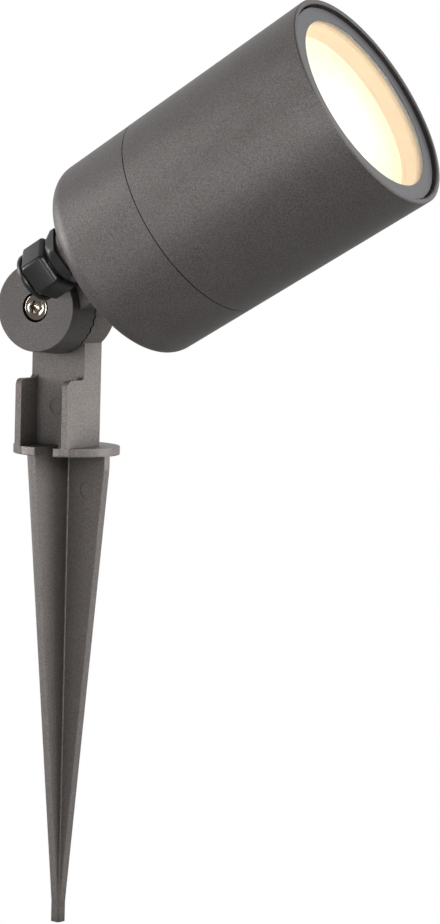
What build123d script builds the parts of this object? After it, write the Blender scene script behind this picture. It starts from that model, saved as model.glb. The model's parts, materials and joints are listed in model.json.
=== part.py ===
"""Garden spike spotlight: a cylindrical die-cast head on a serrated tilt knuckle and a cross-bladed spike.

Row frame, in millimetres: the origin is the centre of the collar's underside, which is ground level once the
spike is pushed in. +Z is up, -Y is the side with the cable channel, and the head tilts about an axis along Y.

Head frame, for everything that tilts: its origin is the tilt pivot, Z runs forward along the beam, X is up
across the beam and Y points to the channel side. head_place carries a head-frame solid into the row frame.
"""

import os
from math import cos, pi, radians, sin, sqrt, tan

from build123d import *

# ---------------------------------------------------------------- ground spike
blade_thickness = 2.65  # each blade of the cross
blade_length = 154.6  # collar underside to tip
blade_turn = 10.0  # degrees, the cross against the stem, clockwise from above
blade_centre = (0.5, 0.3)  # the cross stands a little off the collar's centre
tip_half_width = 1.3
blade_root_radius = 0.5  # fillet between neighbouring blades
casting_edge = 0.3  # broken edges of the casting

collar_radius = 17.3
collar_thickness = 2.8
notch_width = 6.2  # cable notch in the collar, beside the front blade
notch_depth_start = 6.2  # inner end of the notch from the cross's centre
notch_corner = 0.9

stem_half_width = 9.9  # along X
stem_front = -6.2  # front face of the web
stem_back = 4.1
web_thickness = 3.0
wall_thickness = 2.2  # the two side walls of the stem
channel_wall_front = -15.8  # front edge of the walls beside the cable channel
channel_wall_top = 24.4
channel_corner = 2.2  # rounded front top corners of those walls
channel_heel = 1.6  # inside corner where a wall steps back to the stem
back_core_floor = 5.0  # the cored-out back of the stem starts here
back_core_corner = 2.0

ejector_mark_radius = 2.8
ejector_mark_depth = 0.2
web_mark_height = 15.6
blade_mark_height = -11.3
blade_mark_offset = 9.4

# ---------------------------------------------------------------- tilt knuckle
pivot_height = 47.5
head_tilt = 31.0  # degrees above level at rest
knuckle_radius = 15.0
knuckle_edge = 0.35  # rounded outer edge of the arm's disc
disc_face_radius = 14.1  # the arm's disc is drafted from the teeth to its face
tooth_plane = -8.4  # Y of the tooth crests on the spike's ear
tooth_count = 36
tooth_depth = 0.7
tooth_gap = 0.12  # crest to crest, with the clamp backed off
tooth_inner_radius = 8.0  # the faces are relieved inside this radius
tooth_relief = 0.3  # depth of that relief below the tooth roots
arm_disc_thickness = 12.1
neck_half_height = 7.6  # across the beam
neck_thickness = 7.5  # along the tilt axis
foot_thickness = 3.0
foot_half_height = 9.6
foot_width = 13.0
foot_inset = 0.6  # the foot's side behind the disc's face
foot_corner = 3.0

screw_radius = 2.5  # M5 clamp screw
screw_length = 20.0
screw_head_radius = 4.25
screw_head_height = 5.0
screw_head_recess = 0.3  # head top below the disc face
screw_socket_flats = 4.0
screw_socket_depth = 2.6
counterbore_radius = 4.75
pivot_clearance = 0.08  # radial, screw in arm and ear
thread_clearance = 0.05  # radial, a plain shank standing for a thread
washer_thickness = 1.2
washer_section = 1.5
washer_split = 0.8
nut_flats = 8.0
nut_height = 4.0
nut_turn = 30.0  # degrees, the nut's flats stand level
nut_pocket_clearance = 0.1

# ---------------------------------------------------------------- head shells
head_radius = 34.2  # at the seam
head_draft = 0.97  # degrees, narrower to the rear
head_side_offset = 8.2  # head axis from the pivot, towards the channel side
head_rise = 0.4  # head axis above the pivot, across the beam
rear_face = 26.2  # distances along the beam from the pivot
seam = 58.8
front_rim = 127.25
rear_edge_radius = 6.4
seam_gap = 0.3
rear_wall = 3.0
housing_wall = 2.8
housing_inner_corner = 2.0
rim_width = 1.6
rim_edge = 0.35

spigot_length = 8.0  # threaded spigot of the rear housing inside the barrel
spigot_step = 3.7  # the spigot's outside from the head's outside, at the seam
spigot_wall = 3.5
spigot_clearance = 0.1
spigot_end_gap = 0.4
o_ring_section = 2.0
o_ring_bore_gap = 0.05
o_ring_groove_width = 2.4
o_ring_groove_start = 1.0  # from the seam

barrel_wall = 4.2  # at the seam
glass_thickness = 4.0
glass_recess = 1.36  # printed border below the rim
glass_edge = 0.4
glass_side_gap = 0.3  # radial, glass in the barrel's recess
border_width = 5.0  # printed border of the glass
border_thickness = 0.1
seal_thickness = 1.0
seal_lip = 0.2  # the bead's height beside the glass edge
seal_bore_gap = 0.3  # the bead stops this far outside the barrel's bore
seal_side_gap = 0.02

# ---------------------------------------------------------------- sleeve and lamp
sleeve_wall = 1.45
sleeve_clearance = 0.15  # radial, sleeve in barrel
sleeve_glass_gap = 0.3
sleeve_length = 9.0
sleeve_ring_depth = 2.0  # ring below the sleeve's front edge
sleeve_ring_thickness = 1.2
sleeve_ring_drop = 0.4  # the ring's front slopes back to the lamp
sleeve_ring_gap = 0.4  # radial, ring to lamp
lamp_radius = 24.9  # 50 mm reflector lamp
lamp_front = 118.4
lamp_rim_height = 5.0
lamp_rim_edge = 0.8
lamp_lens_radius = 23.6
lamp_lens_thickness = 2.0
lamp_neck_radius = 12.6
lamp_neck_start = 36.0  # behind the lamp front
lamp_shoulder = (17.8, 27.0)  # radius, and distance behind the lamp front
lamp_cone_end = (22.3, 10.0)
lamp_rim_start_radius = 24.0
lamp_length = 49.0
pin_spacing = 10.0
pin_radius = 1.45
pin_head_radius = 2.4
pin_head_height = 2.0
pin_length = 6.6
pin_root = 3.0  # length of each pin inside the lamp

holder_face_gap = 0.2
holder_radius = 13.5
holder_front_height = 11.0
holder_back_length = 22.0
holder_back_width = 13.0
holder_back_height = 7.2
holder_pin_clearance = 0.3
holder_pin_depth = 8.0
keyhole_offset = 2.6  # the narrow end of each keyhole from its wide end
wire_column_offset = (3.6, -3.2)  # from the head axis, where each lead leaves the holder

bridge_thickness = 1.2
bridge_width = 14.0
bridge_half_length = 26.4
post_spacing = 45.0
post_radius = 3.4
m3_radius = 1.5
m3_head_radius = 2.75
m3_head_height = 2.0
m3_length = 8.0
m3_hole_radius = 1.7
holder_screw_spacing = 16.0

# ---------------------------------------------------------------- wiring
block_length = 25.0
block_width = 14.0
block_height = 11.0
block_poles = 3
block_offset = -8.4  # from the head axis, away from the channel side
block_hole_offset = 3.4  # wire holes and clamping screws from the block's middle
block_wire_radius = 1.7
block_wire_depth = 6.0
block_fixing_drop = 5.0  # the fixing screw's seat below the block's top
block_screw_drop = 4.0  # the clamping screws' lower end below the block's top
block_screw_radius = 1.6
block_screw_height = 1.4
wire_radius = 0.9
wire_bend = 3.0
m4_radius = 2.0
m4_head_radius = 3.5
m4_head_height = 2.6
earth_boss_radius = 4.2
earth_boss_height = 5.0
earth_boss_up = -20.0  # from the head axis, across the beam
earth_boss_side = -8.4
earth_tag_thickness = 0.8
earth_tag_radius = 3.9
earth_tag_tail = 2.6
earth_screw_length = 5.5

arm_screw_spacing = 9.0
arm_screw_length = 12.0
arm_seal_thickness = 1.0

# ---------------------------------------------------------------- cable gland
gland_side = 29.95  # gland axis from the pivot, towards the channel side
gland_up = 5.3
gland_turn = 21.0  # degrees, hexagons against the tilt axis
gland_body_flats = 17.0
gland_body_length = 3.3
gland_seal_thickness = 0.9
gland_thread_radius = 6.0  # M12 into the housing
gland_neck_radius = 7.0  # thread under the nut
gland_neck_length = 9.6
gland_bore_radius = 4.0
gland_boss_radius = 8.2
gland_boss_height = 3.5
nut_body_flats = 16.2
nut_body_length = 9.6
nut_groove = 1.5  # open thread between nut and body
nut_edge = 1.0  # flat bevels round both ends of the nut
nut_corner = 0.7  # width of the flats on the nut's long corners
nut_rim_length = 1.8
nut_rim_radius = 8.1
nut_mouth_radius = 4.4
turned_corner = 30.0  # degrees, turned corners of the other hexagons
seal_bore_radius = 3.2
seal_outer_radius = 5.6
seal_seat = 1.2  # the seal's inner end from the body's hexagon

# ---------------------------------------------------------------- worked out
pivot = Vector(0, 0, pivot_height)
tilt = radians(head_tilt)
head_place = Plane(origin=pivot, x_dir=(-sin(tilt), 0, cos(tilt)), z_dir=(cos(tilt), 0, sin(tilt))).location
head_centre = Pos(head_rise, head_side_offset, 0)
blade_place = Pos(*blade_centre, 0) * Rot(0, 0, -blade_turn)
draft = radians(head_draft)
arm_face = -tooth_plane + tooth_gap  # Y of the arm's tooth crests in the head frame
arm_outer = arm_face + arm_disc_thickness
counterbore_depth = screw_head_recess + screw_head_height + washer_thickness + pivot_clearance
foot_front = rear_face - arm_seal_thickness
foot_side = arm_outer - foot_inset
glass_front = front_rim - glass_recess - border_thickness
glass_back = glass_front - glass_thickness
glass_seat = glass_back - seal_thickness
sleeve_front = glass_back - sleeve_glass_gap
housing_inside = rear_face + rear_wall
housing_inner_radius = head_radius - housing_wall - (seam - rear_face) * sin(draft)
spigot_radius = head_radius - spigot_step
spigot_bore_radius = spigot_radius - spigot_wall
barrel_bore_radius = head_radius - barrel_wall
lamp_back = lamp_front - lamp_length
holder_front = lamp_back - holder_face_gap
holder_waist = holder_front - holder_front_height
holder_back = holder_waist - holder_back_height
bridge_back = holder_back - bridge_thickness
socket_end = seam + spigot_length + spigot_end_gap
gland_place = Pos(gland_up, gland_side, 0)
gland_seat = rear_face - gland_seal_thickness
gland_body_back = gland_seat - gland_body_length
nut_front = gland_body_back - nut_groove
nut_back = nut_front - nut_body_length
nut_end = nut_back - nut_rim_length


def outer_radius(along):
    """The head's tapered outside at a distance along the beam."""
    return head_radius + (along - seam) * tan(draft)


recess_radius = outer_radius(front_rim) - rim_width
glass_radius = recess_radius - glass_side_gap
border_inner_radius = glass_radius - border_width
seal_inner_radius = barrel_bore_radius + seal_bore_gap
sleeve_inner_radius = barrel_bore_radius - sleeve_clearance - sleeve_wall
sleeve_ring_radius = lamp_radius + sleeve_ring_gap
block_top = housing_inside + block_height


def rod(radius, start, end):
    """A round bar along Z between two heights."""
    return Pos(0, 0, start) * Cylinder(radius, end - start, align=(Align.CENTER, Align.CENTER, Align.MIN))


def tube(outer, inner, start, end):
    """A round bar with a bore."""
    return rod(outer, start, end) - rod(inner, start - 1, end + 1)


def turned(*points):
    """A solid of revolution about Z from (radius, height) points."""
    outline = Plane.XZ * make_face(Polyline(*points, close=True))
    return revolve(outline, Axis.Z)


def hexagon_bar(flats, start, end, turn=0):
    """A hexagonal bar along Z, given across flats."""
    sketch = Rot(0, 0, turn) * RegularPolygon(flats / sqrt(3), 6)
    return Pos(0, 0, start) * extrude(sketch, end - start)


def turned_hexagon(flats, start, end, turn, chamfer_start, chamfer_end):
    """A hexagonal bar with its corners turned to a cone at one or both ends."""
    corner = flats / sqrt(3)
    slope = tan(radians(turned_corner))
    inner = flats / 2 * 0.97
    drop = (corner - inner) * slope * 1.7
    low, high = start + drop * chamfer_start, end - drop * chamfer_end
    cone = turned((0, start), (inner if chamfer_start else corner + 1, start), (corner + 0.01, low),
                  (corner + 0.01, high), (inner if chamfer_end else corner + 1, end), (0, end))
    return hexagon_bar(flats, start, end, turn) & cone


def along_tilt_axis(solid):
    """A solid built along Z, turned to lie along the row's -Y."""
    return Rot(90, 0, 0) * solid


def at_pivot(solid):
    """The same, on the tilt axis of the row frame."""
    return Pos(0, 0, pivot_height) * along_tilt_axis(solid)


def tooth_grooves(phase):
    """Radial V grooves on the plane Z = 0, cut downwards: each one shrinks to a point on the axis."""
    reach = knuckle_radius + 1
    scale = reach / knuckle_radius
    half_width = knuckle_radius * pi / tooth_count * 0.92 * scale
    depth = tooth_depth * scale
    mouth = Plane(origin=(reach, 0, 0), x_dir=(0, 1, 0), z_dir=(1, 0, 0))
    section = mouth * Polygon((-half_width, 0), (0, -depth), (half_width, 0), align=None)
    groove = loft([section, Vertex(0, 0, 0)])
    return [Rot(0, 0, phase + 360 / tooth_count * step) * groove for step in range(tooth_count)]


# ---------------------------------------------------------------- the spike, one casting
def make_spike():
    half = blade_thickness / 2

    def blade(top):
        outline = Polygon((-collar_radius, top), (-collar_radius, 0),
                          (-tip_half_width, -blade_length), (tip_half_width, -blade_length),
                          (collar_radius, 0), (collar_radius, top), align=None)
        solid = extrude(Plane.XZ * outline, half, both=True)
        long_edges = [edge for edge in solid.edges() if edge.length > blade_length * 0.9]
        return fillet(long_edges, casting_edge)

    # the root fillets: a square core with a quarter circle taken out beside every corner
    core_half = half + blade_root_radius
    core = Rectangle(2 * core_half, 2 * core_half)
    corners = GridLocations(2 * core_half, 2 * core_half, 2, 2)
    core = core - [corner * Circle(blade_root_radius) for corner in corners]
    side_blades = blade(casting_edge)
    front_blades = Rot(0, 0, 90) * blade(collar_thickness)
    cross = side_blades + front_blades + extrude(core, -blade_length)
    # the blades end flush with the collar's rim
    cross = (blade_place * cross) & rod(collar_radius, -blade_length - 1, collar_thickness)

    collar = rod(collar_radius, 0, collar_thickness)
    collar = fillet(collar.edges(), casting_edge)

    wall_outline = Polyline((channel_wall_front, 0.5), (channel_wall_front, channel_wall_top),
                            (stem_front, channel_wall_top), (stem_front, pivot_height),
                            (stem_back, pivot_height), (stem_back, 0.5), close=True)
    wall_face = make_face(wall_outline)
    for corner_y, corner_radius in ((channel_wall_front, channel_corner), (stem_front, channel_heel)):
        corner = Vector(corner_y, channel_wall_top)
        nearest = wall_face.vertices().sort_by(lambda vertex: (Vector(vertex) - corner).length)[0]
        wall_face = fillet(nearest, corner_radius)
    walls = extrude(Plane.YZ * wall_face, stem_half_width, both=True)
    inner_width = 2 * (stem_half_width - wall_thickness)
    channel = Box(inner_width, 2 * (stem_front - channel_wall_front), 2 * pivot_height,
                  align=(Align.CENTER, Align.MAX, Align.MIN))
    stem = walls - Pos(0, stem_front, collar_thickness) * channel

    core_height = pivot_height - collar_thickness
    back_core = Box(inner_width, stem_back - stem_front - web_thickness + 1, core_height,
                    align=(Align.CENTER, Align.MIN, Align.MIN))
    back_core = fillet(back_core.edges().filter_by(Axis.Y), back_core_corner)
    stem = stem - Pos(0, stem_front + web_thickness, back_core_floor) * back_core

    ear = rod(knuckle_radius, -stem_back, -tooth_plane)
    ear = fillet(ear.edges().sort_by(Axis.Z)[0], casting_edge)
    ear = ear - [Pos(0, 0, -tooth_plane) * groove for groove in tooth_grooves(0)]
    relief = tooth_depth + tooth_relief
    ear = ear - rod(tooth_inner_radius, -tooth_plane - relief, -tooth_plane + 1)

    body = cross + collar + stem + at_pivot(ear)

    bolt_hole = rod(screw_radius + pivot_clearance, -stem_back - 1, -tooth_plane + 1)
    pocket = hexagon_bar(nut_flats + 2 * nut_pocket_clearance, -stem_back - 1, -stem_back + nut_height + 0.4,
                         nut_turn)
    body = body - at_pivot(bolt_hole + pocket)

    # cable notch: from the front blade's side to notch_width beyond it, open at the rim
    notch = Box(notch_width, 2 * collar_radius, 3 * collar_thickness,
                align=(Align.MIN, Align.MAX, Align.CENTER))
    notch = fillet(notch.edges().filter_by(Axis.Z).group_by(Axis.Y)[-1], notch_corner)
    body = body - blade_place * Pos(half, -notch_depth_start, collar_thickness / 2) * notch

    # round marks of the mould's ejector pins
    mark = Rot(-90, 0, 0) * rod(ejector_mark_radius, -1, ejector_mark_depth)
    body = body - Pos(0, stem_front, web_mark_height) * mark
    body = body - blade_place * Pos(blade_mark_offset, -half, blade_mark_height) * mark
    return body


def make_clamp_nut():
    back = -stem_back + 0.2
    nut = turned_hexagon(nut_flats, back, back + nut_height, nut_turn, 1, 1)
    return at_pivot(nut - rod(screw_radius + thread_clearance, back - 1, back + nut_height + 1))


def make_clamp_screw():
    head_top = arm_outer - screw_head_recess
    under_head = head_top - screw_head_height
    head = rod(screw_head_radius, under_head, head_top)
    head = fillet(head.edges().sort_by(Axis.Z)[-1], 0.5)
    shank = rod(screw_radius, under_head - screw_length, under_head)
    shank = chamfer(shank.edges().sort_by(Axis.Z)[0], 0.6)
    socket = hexagon_bar(screw_socket_flats, head_top - screw_socket_depth, head_top + 1)
    return at_pivot(head + shank - socket)


def make_spring_washer():
    """A split ring: its two ends stand a split apart and are cut on a slant."""
    under_head = arm_outer - screw_head_recess - screw_head_height
    inner = screw_radius + 0.15
    ring = tube(inner + washer_section, inner, under_head - washer_thickness, under_head - 0.02)
    cut = Rot(0, 25, 0) * Box(washer_split, 2 * knuckle_radius, 4 * washer_thickness,
                              align=(Align.CENTER, Align.MIN, Align.CENTER))
    return at_pivot(ring - Pos(0, 0, under_head - washer_thickness / 2) * cut)


# ---------------------------------------------------------------- the arm and the housing that it carries
def head_side(solid):
    """A solid built along Z, turned to point along the head frame's +Y."""
    return Rot(-90, 0, 0) * solid


def make_knuckle_arm():
    disc = turned((0, 0), (knuckle_radius, 0), (disc_face_radius, arm_disc_thickness),
                  (0, arm_disc_thickness))
    disc = fillet(disc.edges().sort_by(Axis.Z)[-1], knuckle_edge)
    tooth_phase = 180 / tooth_count + head_tilt
    grooves = [Rot(180, 0, 0) * groove for groove in tooth_grooves(tooth_phase)]
    disc = disc - grooves
    disc = disc - rod(tooth_inner_radius, -1, tooth_depth + tooth_relief)
    disc = Pos(0, arm_face, 0) * head_side(disc)

    neck_start = arm_face + tooth_depth + tooth_relief
    neck = Box(2 * neck_half_height, neck_thickness, foot_front, align=(Align.CENTER, Align.MIN, Align.MIN))
    neck = Pos(0, neck_start, 0) * neck
    foot = Box(2 * foot_half_height, foot_width, foot_thickness, align=(Align.CENTER, Align.MAX, Align.MAX))
    foot = fillet(foot.edges().filter_by(Axis.Z), foot_corner)
    foot = Pos(0, foot_side, foot_front) * foot
    arm = disc + neck + foot

    bolt = rod(screw_radius + pivot_clearance, -1, arm_disc_thickness + 1)
    bolt += rod(counterbore_radius, arm_disc_thickness - counterbore_depth, arm_disc_thickness + 1)
    arm = arm - Pos(0, arm_face, 0) * head_side(bolt)
    for place in arm_screw_places():
        arm = arm - place * rod(m4_radius + thread_clearance, foot_front - arm_screw_length, foot_front + 1)
    return arm


def arm_screw_places():
    middle = foot_side - foot_width / 2
    return [Pos(side * arm_screw_spacing / 2, middle, 0) for side in (-1, 1)]


def make_arm_seal():
    seal = Box(2 * foot_half_height, foot_width, arm_seal_thickness,
               align=(Align.CENTER, Align.MAX, Align.MIN))
    seal = fillet(seal.edges().filter_by(Axis.Z), foot_corner)
    seal = Pos(0, foot_side, foot_front) * seal
    for place in arm_screw_places():
        seal = seal - place * rod(m4_radius + 0.15, foot_front - 1, rear_face + 1)
    return seal


def pan_screw(radius, head_radius_, head_height, under_head, length):
    """A pan-head screw pointing down Z with a cross recess."""
    head = rod(head_radius_, under_head, under_head + head_height)
    head = fillet(head.edges().sort_by(Axis.Z)[-1], head_height * 0.4)
    top = under_head + head_height
    for turn in (0, 90):
        slot = Rot(0, 0, turn) * Box(head_radius_ * 1.1, 0.8, head_height)
        head = head - Pos(0, 0, top) * slot
    return head + rod(radius, under_head - length, under_head)


def make_arm_screws():
    screw = pan_screw(m4_radius, m4_head_radius, m4_head_height, housing_inside, arm_screw_length)
    return Compound(children=[place * screw for place in arm_screw_places()])


def post_places():
    return [Pos(head_rise + side * post_spacing / 2, head_side_offset, 0) for side in (-1, 1)]


def earth_place():
    return Pos(head_rise + earth_boss_up, head_side_offset + earth_boss_side, 0)


def make_rear_housing():
    start = rear_face
    shell = turned((0, start), (outer_radius(start), start), (outer_radius(seam), seam - seam_gap / 2),
                   (spigot_radius, seam - seam_gap / 2), (spigot_radius, seam + spigot_length),
                   (0, seam + spigot_length))
    shell = fillet(shell.edges().sort_by(Axis.Z)[0], rear_edge_radius)
    lip = shell.edges().filter_by(GeomType.CIRCLE).group_by(Axis.Z)[-1]
    shell = chamfer(lip, 0.6)
    cavity = turned((0, housing_inside), (housing_inner_radius, housing_inside),
                    (housing_inner_radius, seam - housing_wall), (spigot_bore_radius, seam),
                    (spigot_bore_radius, seam + spigot_length + 1), (0, seam + spigot_length + 1))
    cavity = fillet(cavity.edges().filter_by(GeomType.CIRCLE).sort_by(Axis.Z)[0], housing_inner_corner)
    shell = shell - cavity
    groove_floor = spigot_radius + spigot_clearance - o_ring_bore_gap - o_ring_section
    groove = tube(spigot_radius + 1, groove_floor, seam + o_ring_groove_start,
                  seam + o_ring_groove_start + o_ring_groove_width)
    shell = head_centre * (shell - groove)
    inside = head_centre * rod(housing_inner_radius + 0.5, rear_face + 1, seam)

    # posts for the lampholder bridge, earth boss and gland boss stand on the rear wall
    for place in post_places():
        shell = shell + place * rod(post_radius, housing_inside - 1, bridge_back)
    earth_boss = rod(earth_boss_radius, housing_inside - 1, housing_inside + earth_boss_height)
    shell = shell + earth_place() * earth_boss
    gland_boss = gland_place * rod(gland_boss_radius, housing_inside - 1, housing_inside + gland_boss_height)
    shell = shell + (gland_boss & inside)
    seat_height = rear_edge_radius * 0.5
    shell = shell + gland_place * rod(gland_boss_radius, rear_face, rear_face + seat_height)

    for place in post_places():
        shell = shell - place * rod(m3_radius + thread_clearance, bridge_back - m3_length, bridge_back + 1)
    shell = shell - earth_place() * rod(m4_radius + thread_clearance, housing_inside, housing_inside + 10)
    gland_hole = rod(gland_thread_radius + thread_clearance, rear_face - 1, housing_inside + 10)
    shell = shell - gland_place * gland_hole
    for place in arm_screw_places():
        shell = shell - place * rod(m4_radius + 0.15, rear_face - 1, housing_inside + 1)
    block_hole = rod(m3_radius + thread_clearance, housing_inside - rear_wall + 1, housing_inside + 1)
    return shell - block_fixing_place() * block_hole


def make_housing_o_ring():
    centre_radius = spigot_radius + spigot_clearance - o_ring_bore_gap - o_ring_section / 2
    centre_height = seam + o_ring_groove_start + o_ring_groove_width / 2
    return head_centre * Pos(0, 0, centre_height) * Torus(centre_radius, o_ring_section / 2)


def make_front_barrel():
    start = seam + seam_gap / 2
    socket = spigot_radius + spigot_clearance
    barrel = turned((socket, start), (outer_radius(start), start), (outer_radius(front_rim), front_rim),
                    (recess_radius, front_rim), (recess_radius, glass_seat), (barrel_bore_radius, glass_seat),
                    (barrel_bore_radius, socket_end), (socket, socket_end))
    rim_edges = barrel.edges().filter_by(GeomType.CIRCLE).group_by(Axis.Z)[-1]
    return head_centre * chamfer(rim_edges, rim_edge)


# ---------------------------------------------------------------- glass, sleeve and lamp
def make_glass_seal():
    bead_outer = recess_radius - seal_side_gap
    bead_lip = glass_radius + seal_side_gap
    lip_top = glass_back + seal_lip
    seal = turned((seal_inner_radius, glass_seat), (bead_outer, glass_seat), (bead_outer, lip_top),
                  (bead_lip, lip_top), (bead_lip, glass_back), (seal_inner_radius, glass_back))
    return head_centre * seal


def make_front_glass():
    glass = rod(glass_radius, glass_back, glass_front)
    return head_centre * chamfer(glass.edges().filter_by(GeomType.CIRCLE).sort_by(Axis.Z)[-1], glass_edge)


def make_glass_border():
    border = tube(glass_radius - glass_edge, border_inner_radius, glass_front, glass_front + border_thickness)
    return head_centre * border


def make_centring_sleeve():
    outer = barrel_bore_radius - sleeve_clearance
    ring_front = sleeve_front - sleeve_ring_depth
    ring_back = ring_front - sleeve_ring_thickness
    sleeve_back = sleeve_front - sleeve_length
    sleeve = turned((outer, sleeve_back), (outer, sleeve_front), (sleeve_inner_radius, sleeve_front),
                    (sleeve_inner_radius, ring_front), (sleeve_ring_radius, ring_front - sleeve_ring_drop),
                    (sleeve_ring_radius, ring_back), (sleeve_inner_radius, ring_back),
                    (sleeve_inner_radius, sleeve_back))
    return head_centre * sleeve


def make_lamp_body():
    rim_start = lamp_front - lamp_rim_height
    seat_radius = lamp_lens_radius + 0.05
    shoulder_radius, shoulder_depth = lamp_shoulder
    cone_radius, cone_depth = lamp_cone_end
    body = turned((0, lamp_back), (lamp_neck_radius, lamp_back),
                  (lamp_neck_radius, lamp_front - lamp_neck_start),
                  (shoulder_radius, lamp_front - shoulder_depth), (cone_radius, lamp_front - cone_depth),
                  (lamp_rim_start_radius, rim_start), (lamp_radius, rim_start),
                  (lamp_radius, lamp_front - lamp_rim_edge), (lamp_radius - lamp_rim_edge, lamp_front),
                  (seat_radius, lamp_front), (seat_radius, lamp_front - lamp_lens_thickness),
                  (0, lamp_front - lamp_lens_thickness))
    pin_hole = rod(pin_radius + 0.05, lamp_back - 1, lamp_back + pin_root)
    for side in (-1, 1):
        body = body - Pos(0, side * pin_spacing / 2, 0) * pin_hole
    return head_centre * body


def make_lamp_lens():
    lens = rod(lamp_lens_radius, lamp_front - lamp_lens_thickness, lamp_front - 0.1)
    return head_centre * fillet(lens.edges().sort_by(Axis.Z)[-1], 0.5)


def make_lamp_pins():
    pin = rod(pin_radius, lamp_back - pin_length, lamp_back + pin_root)
    pin += rod(pin_head_radius, lamp_back - pin_length, lamp_back - pin_length + pin_head_height)
    return Compound(children=[head_centre * Pos(0, side * pin_spacing / 2, 0) * pin for side in (-1, 1)])


def make_lampholder():
    """A twist-lock holder: each keyhole slot takes the pin's head and its narrow arc holds it."""
    body = rod(holder_radius, holder_waist, holder_front)
    body = chamfer(body.edges().sort_by(Axis.Z)[-1], 0.8)
    back = Box(holder_back_length, holder_back_width, holder_back_height,
               align=(Align.CENTER, Align.CENTER, Align.MAX))
    back = Pos(0, 0, holder_waist) * fillet(back.edges().filter_by(Axis.Z), 2)
    holder = body + back
    pin_hole = rod(pin_head_radius + holder_pin_clearance, holder_front - holder_pin_depth, holder_front + 1)
    for side in (-1, 1):
        holder = holder - Pos(0, side * pin_spacing / 2, 0) * pin_hole
        slot = rod(pin_radius + holder_pin_clearance, holder_front - holder_pin_depth, holder_front + 1)
        holder = holder - Pos(side * keyhole_offset, side * pin_spacing / 2, 0) * slot
    for place in wire_columns():
        holder = holder - place * rod(wire_radius + 0.1, holder_back - 1, holder_back + 3)
    for place in holder_screw_places():
        holder = holder - place * rod(m3_radius + thread_clearance, holder_back - 1, holder_back + 5)
    return head_centre * holder


def wire_columns():
    """Where the two leads leave the back of the lampholder, from the head axis."""
    across, along = wire_column_offset
    return [Pos(side * across, along, 0) for side in (-1, 1)]


def holder_screw_places():
    return [Pos(side * holder_screw_spacing / 2, 0, 0) for side in (-1, 1)]


def make_holder_bridge():
    strip = Box(2 * bridge_half_length, bridge_width, bridge_thickness,
                align=(Align.CENTER, Align.CENTER, Align.MIN))
    strip = Pos(0, 0, bridge_back) * fillet(strip.edges().filter_by(Axis.Z), 3)
    wire_hole = rod(wire_radius + 0.6, bridge_back - 1, holder_back + 1)
    screw_hole = rod(m3_hole_radius, bridge_back - 1, holder_back + 1)
    for place in wire_columns():
        strip = strip - place * wire_hole
    for place in holder_screw_places():
        strip = strip - place * screw_hole
    for side in (-1, 1):
        strip = strip - Pos(side * post_spacing / 2, 0, 0) * screw_hole
    return head_centre * strip


def make_bridge_screws():
    post_screw = pan_screw(m3_radius, m3_head_radius, m3_head_height, holder_back, m3_length)
    holder_screw = Rot(180, 0, 0) * pan_screw(m3_radius, m3_head_radius, m3_head_height, -bridge_back, 5.0)
    screws = [place * post_screw for place in post_places()]
    screws += [head_centre * place * holder_screw for place in holder_screw_places()]
    return Compound(children=screws)


# ---------------------------------------------------------------- wiring
def block_place():
    return Pos(head_rise, head_side_offset + block_offset, 0)


def block_fixing_place():
    """The block's own screw goes down between two poles."""
    return block_place() * Pos(block_length / block_poles / 2, 0, 0)


def pole_places():
    pitch = block_length / block_poles
    return [Pos(pitch * (step - (block_poles - 1) / 2), 0, 0) for step in range(block_poles)]


def make_terminal_block():
    block = Box(block_length, block_width, block_height, align=(Align.CENTER, Align.CENTER, Align.MIN))
    block = Pos(0, 0, housing_inside) * chamfer(block.edges().filter_by(Axis.Z), 0.8)
    for place in pole_places():
        wire_hole = rod(block_wire_radius, block_top - block_wire_depth, block_top + 1)
        screw_hole = rod(block_screw_radius + 0.2, block_top - block_screw_drop, block_top + 1)
        block = block - place * Pos(0, block_hole_offset, 0) * wire_hole
        block = block - place * Pos(0, -block_hole_offset, 0) * screw_hole
    fixing = rod(m3_radius + 0.2, housing_inside - 1, block_top + 1)
    fixing += rod(m3_head_radius + 0.2, block_top - block_fixing_drop, block_top + 1)
    return block_place() * block - block_fixing_place() * fixing


def make_terminal_screws():
    screw_foot = block_top - block_screw_drop
    screw_top = screw_foot + block_screw_height
    screws = []
    for place in pole_places():
        screw = rod(block_screw_radius, screw_foot, screw_top) - Pos(0, 0, screw_top) * Box(4, 0.6, 1.0)
        screws.append(block_place() * place * Pos(0, -block_hole_offset, 0) * screw)
    under_head = block_top - block_fixing_drop
    fixing_length = under_head - housing_inside + rear_wall / 2
    fixing = pan_screw(m3_radius, m3_head_radius, m3_head_height, under_head, fixing_length)
    screws.append(block_fixing_place() * fixing)
    return Compound(children=screws)


def wire(points, bend):
    """A round lead along straight runs joined by arcs."""
    path = FilletPolyline(*points, radius=bend)
    section = Plane(origin=path @ 0, z_dir=path % 0) * Circle(wire_radius)
    return sweep(section, path=path)


def make_lamp_leads():
    """Two leads from the lampholder's back, through the bridge, to the outer poles of the block."""
    leads = []
    poles = (pole_places()[0], pole_places()[-1])
    for column, pole in zip(wire_columns(), poles):
        start = (head_centre * column).position + Vector(0, 0, holder_back + 2.5)
        end = (block_place() * pole * Pos(0, block_hole_offset, 0)).position + Vector(0, 0, block_top - 3)
        middle = (holder_back + block_top) / 2 - 0.2
        points = [start, Vector(start.X, start.Y, middle), Vector(end.X, end.Y, middle), end]
        leads.append(wire(points, min(wire_bend, (end - start).length / 5)))
    return Compound(children=leads)


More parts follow.
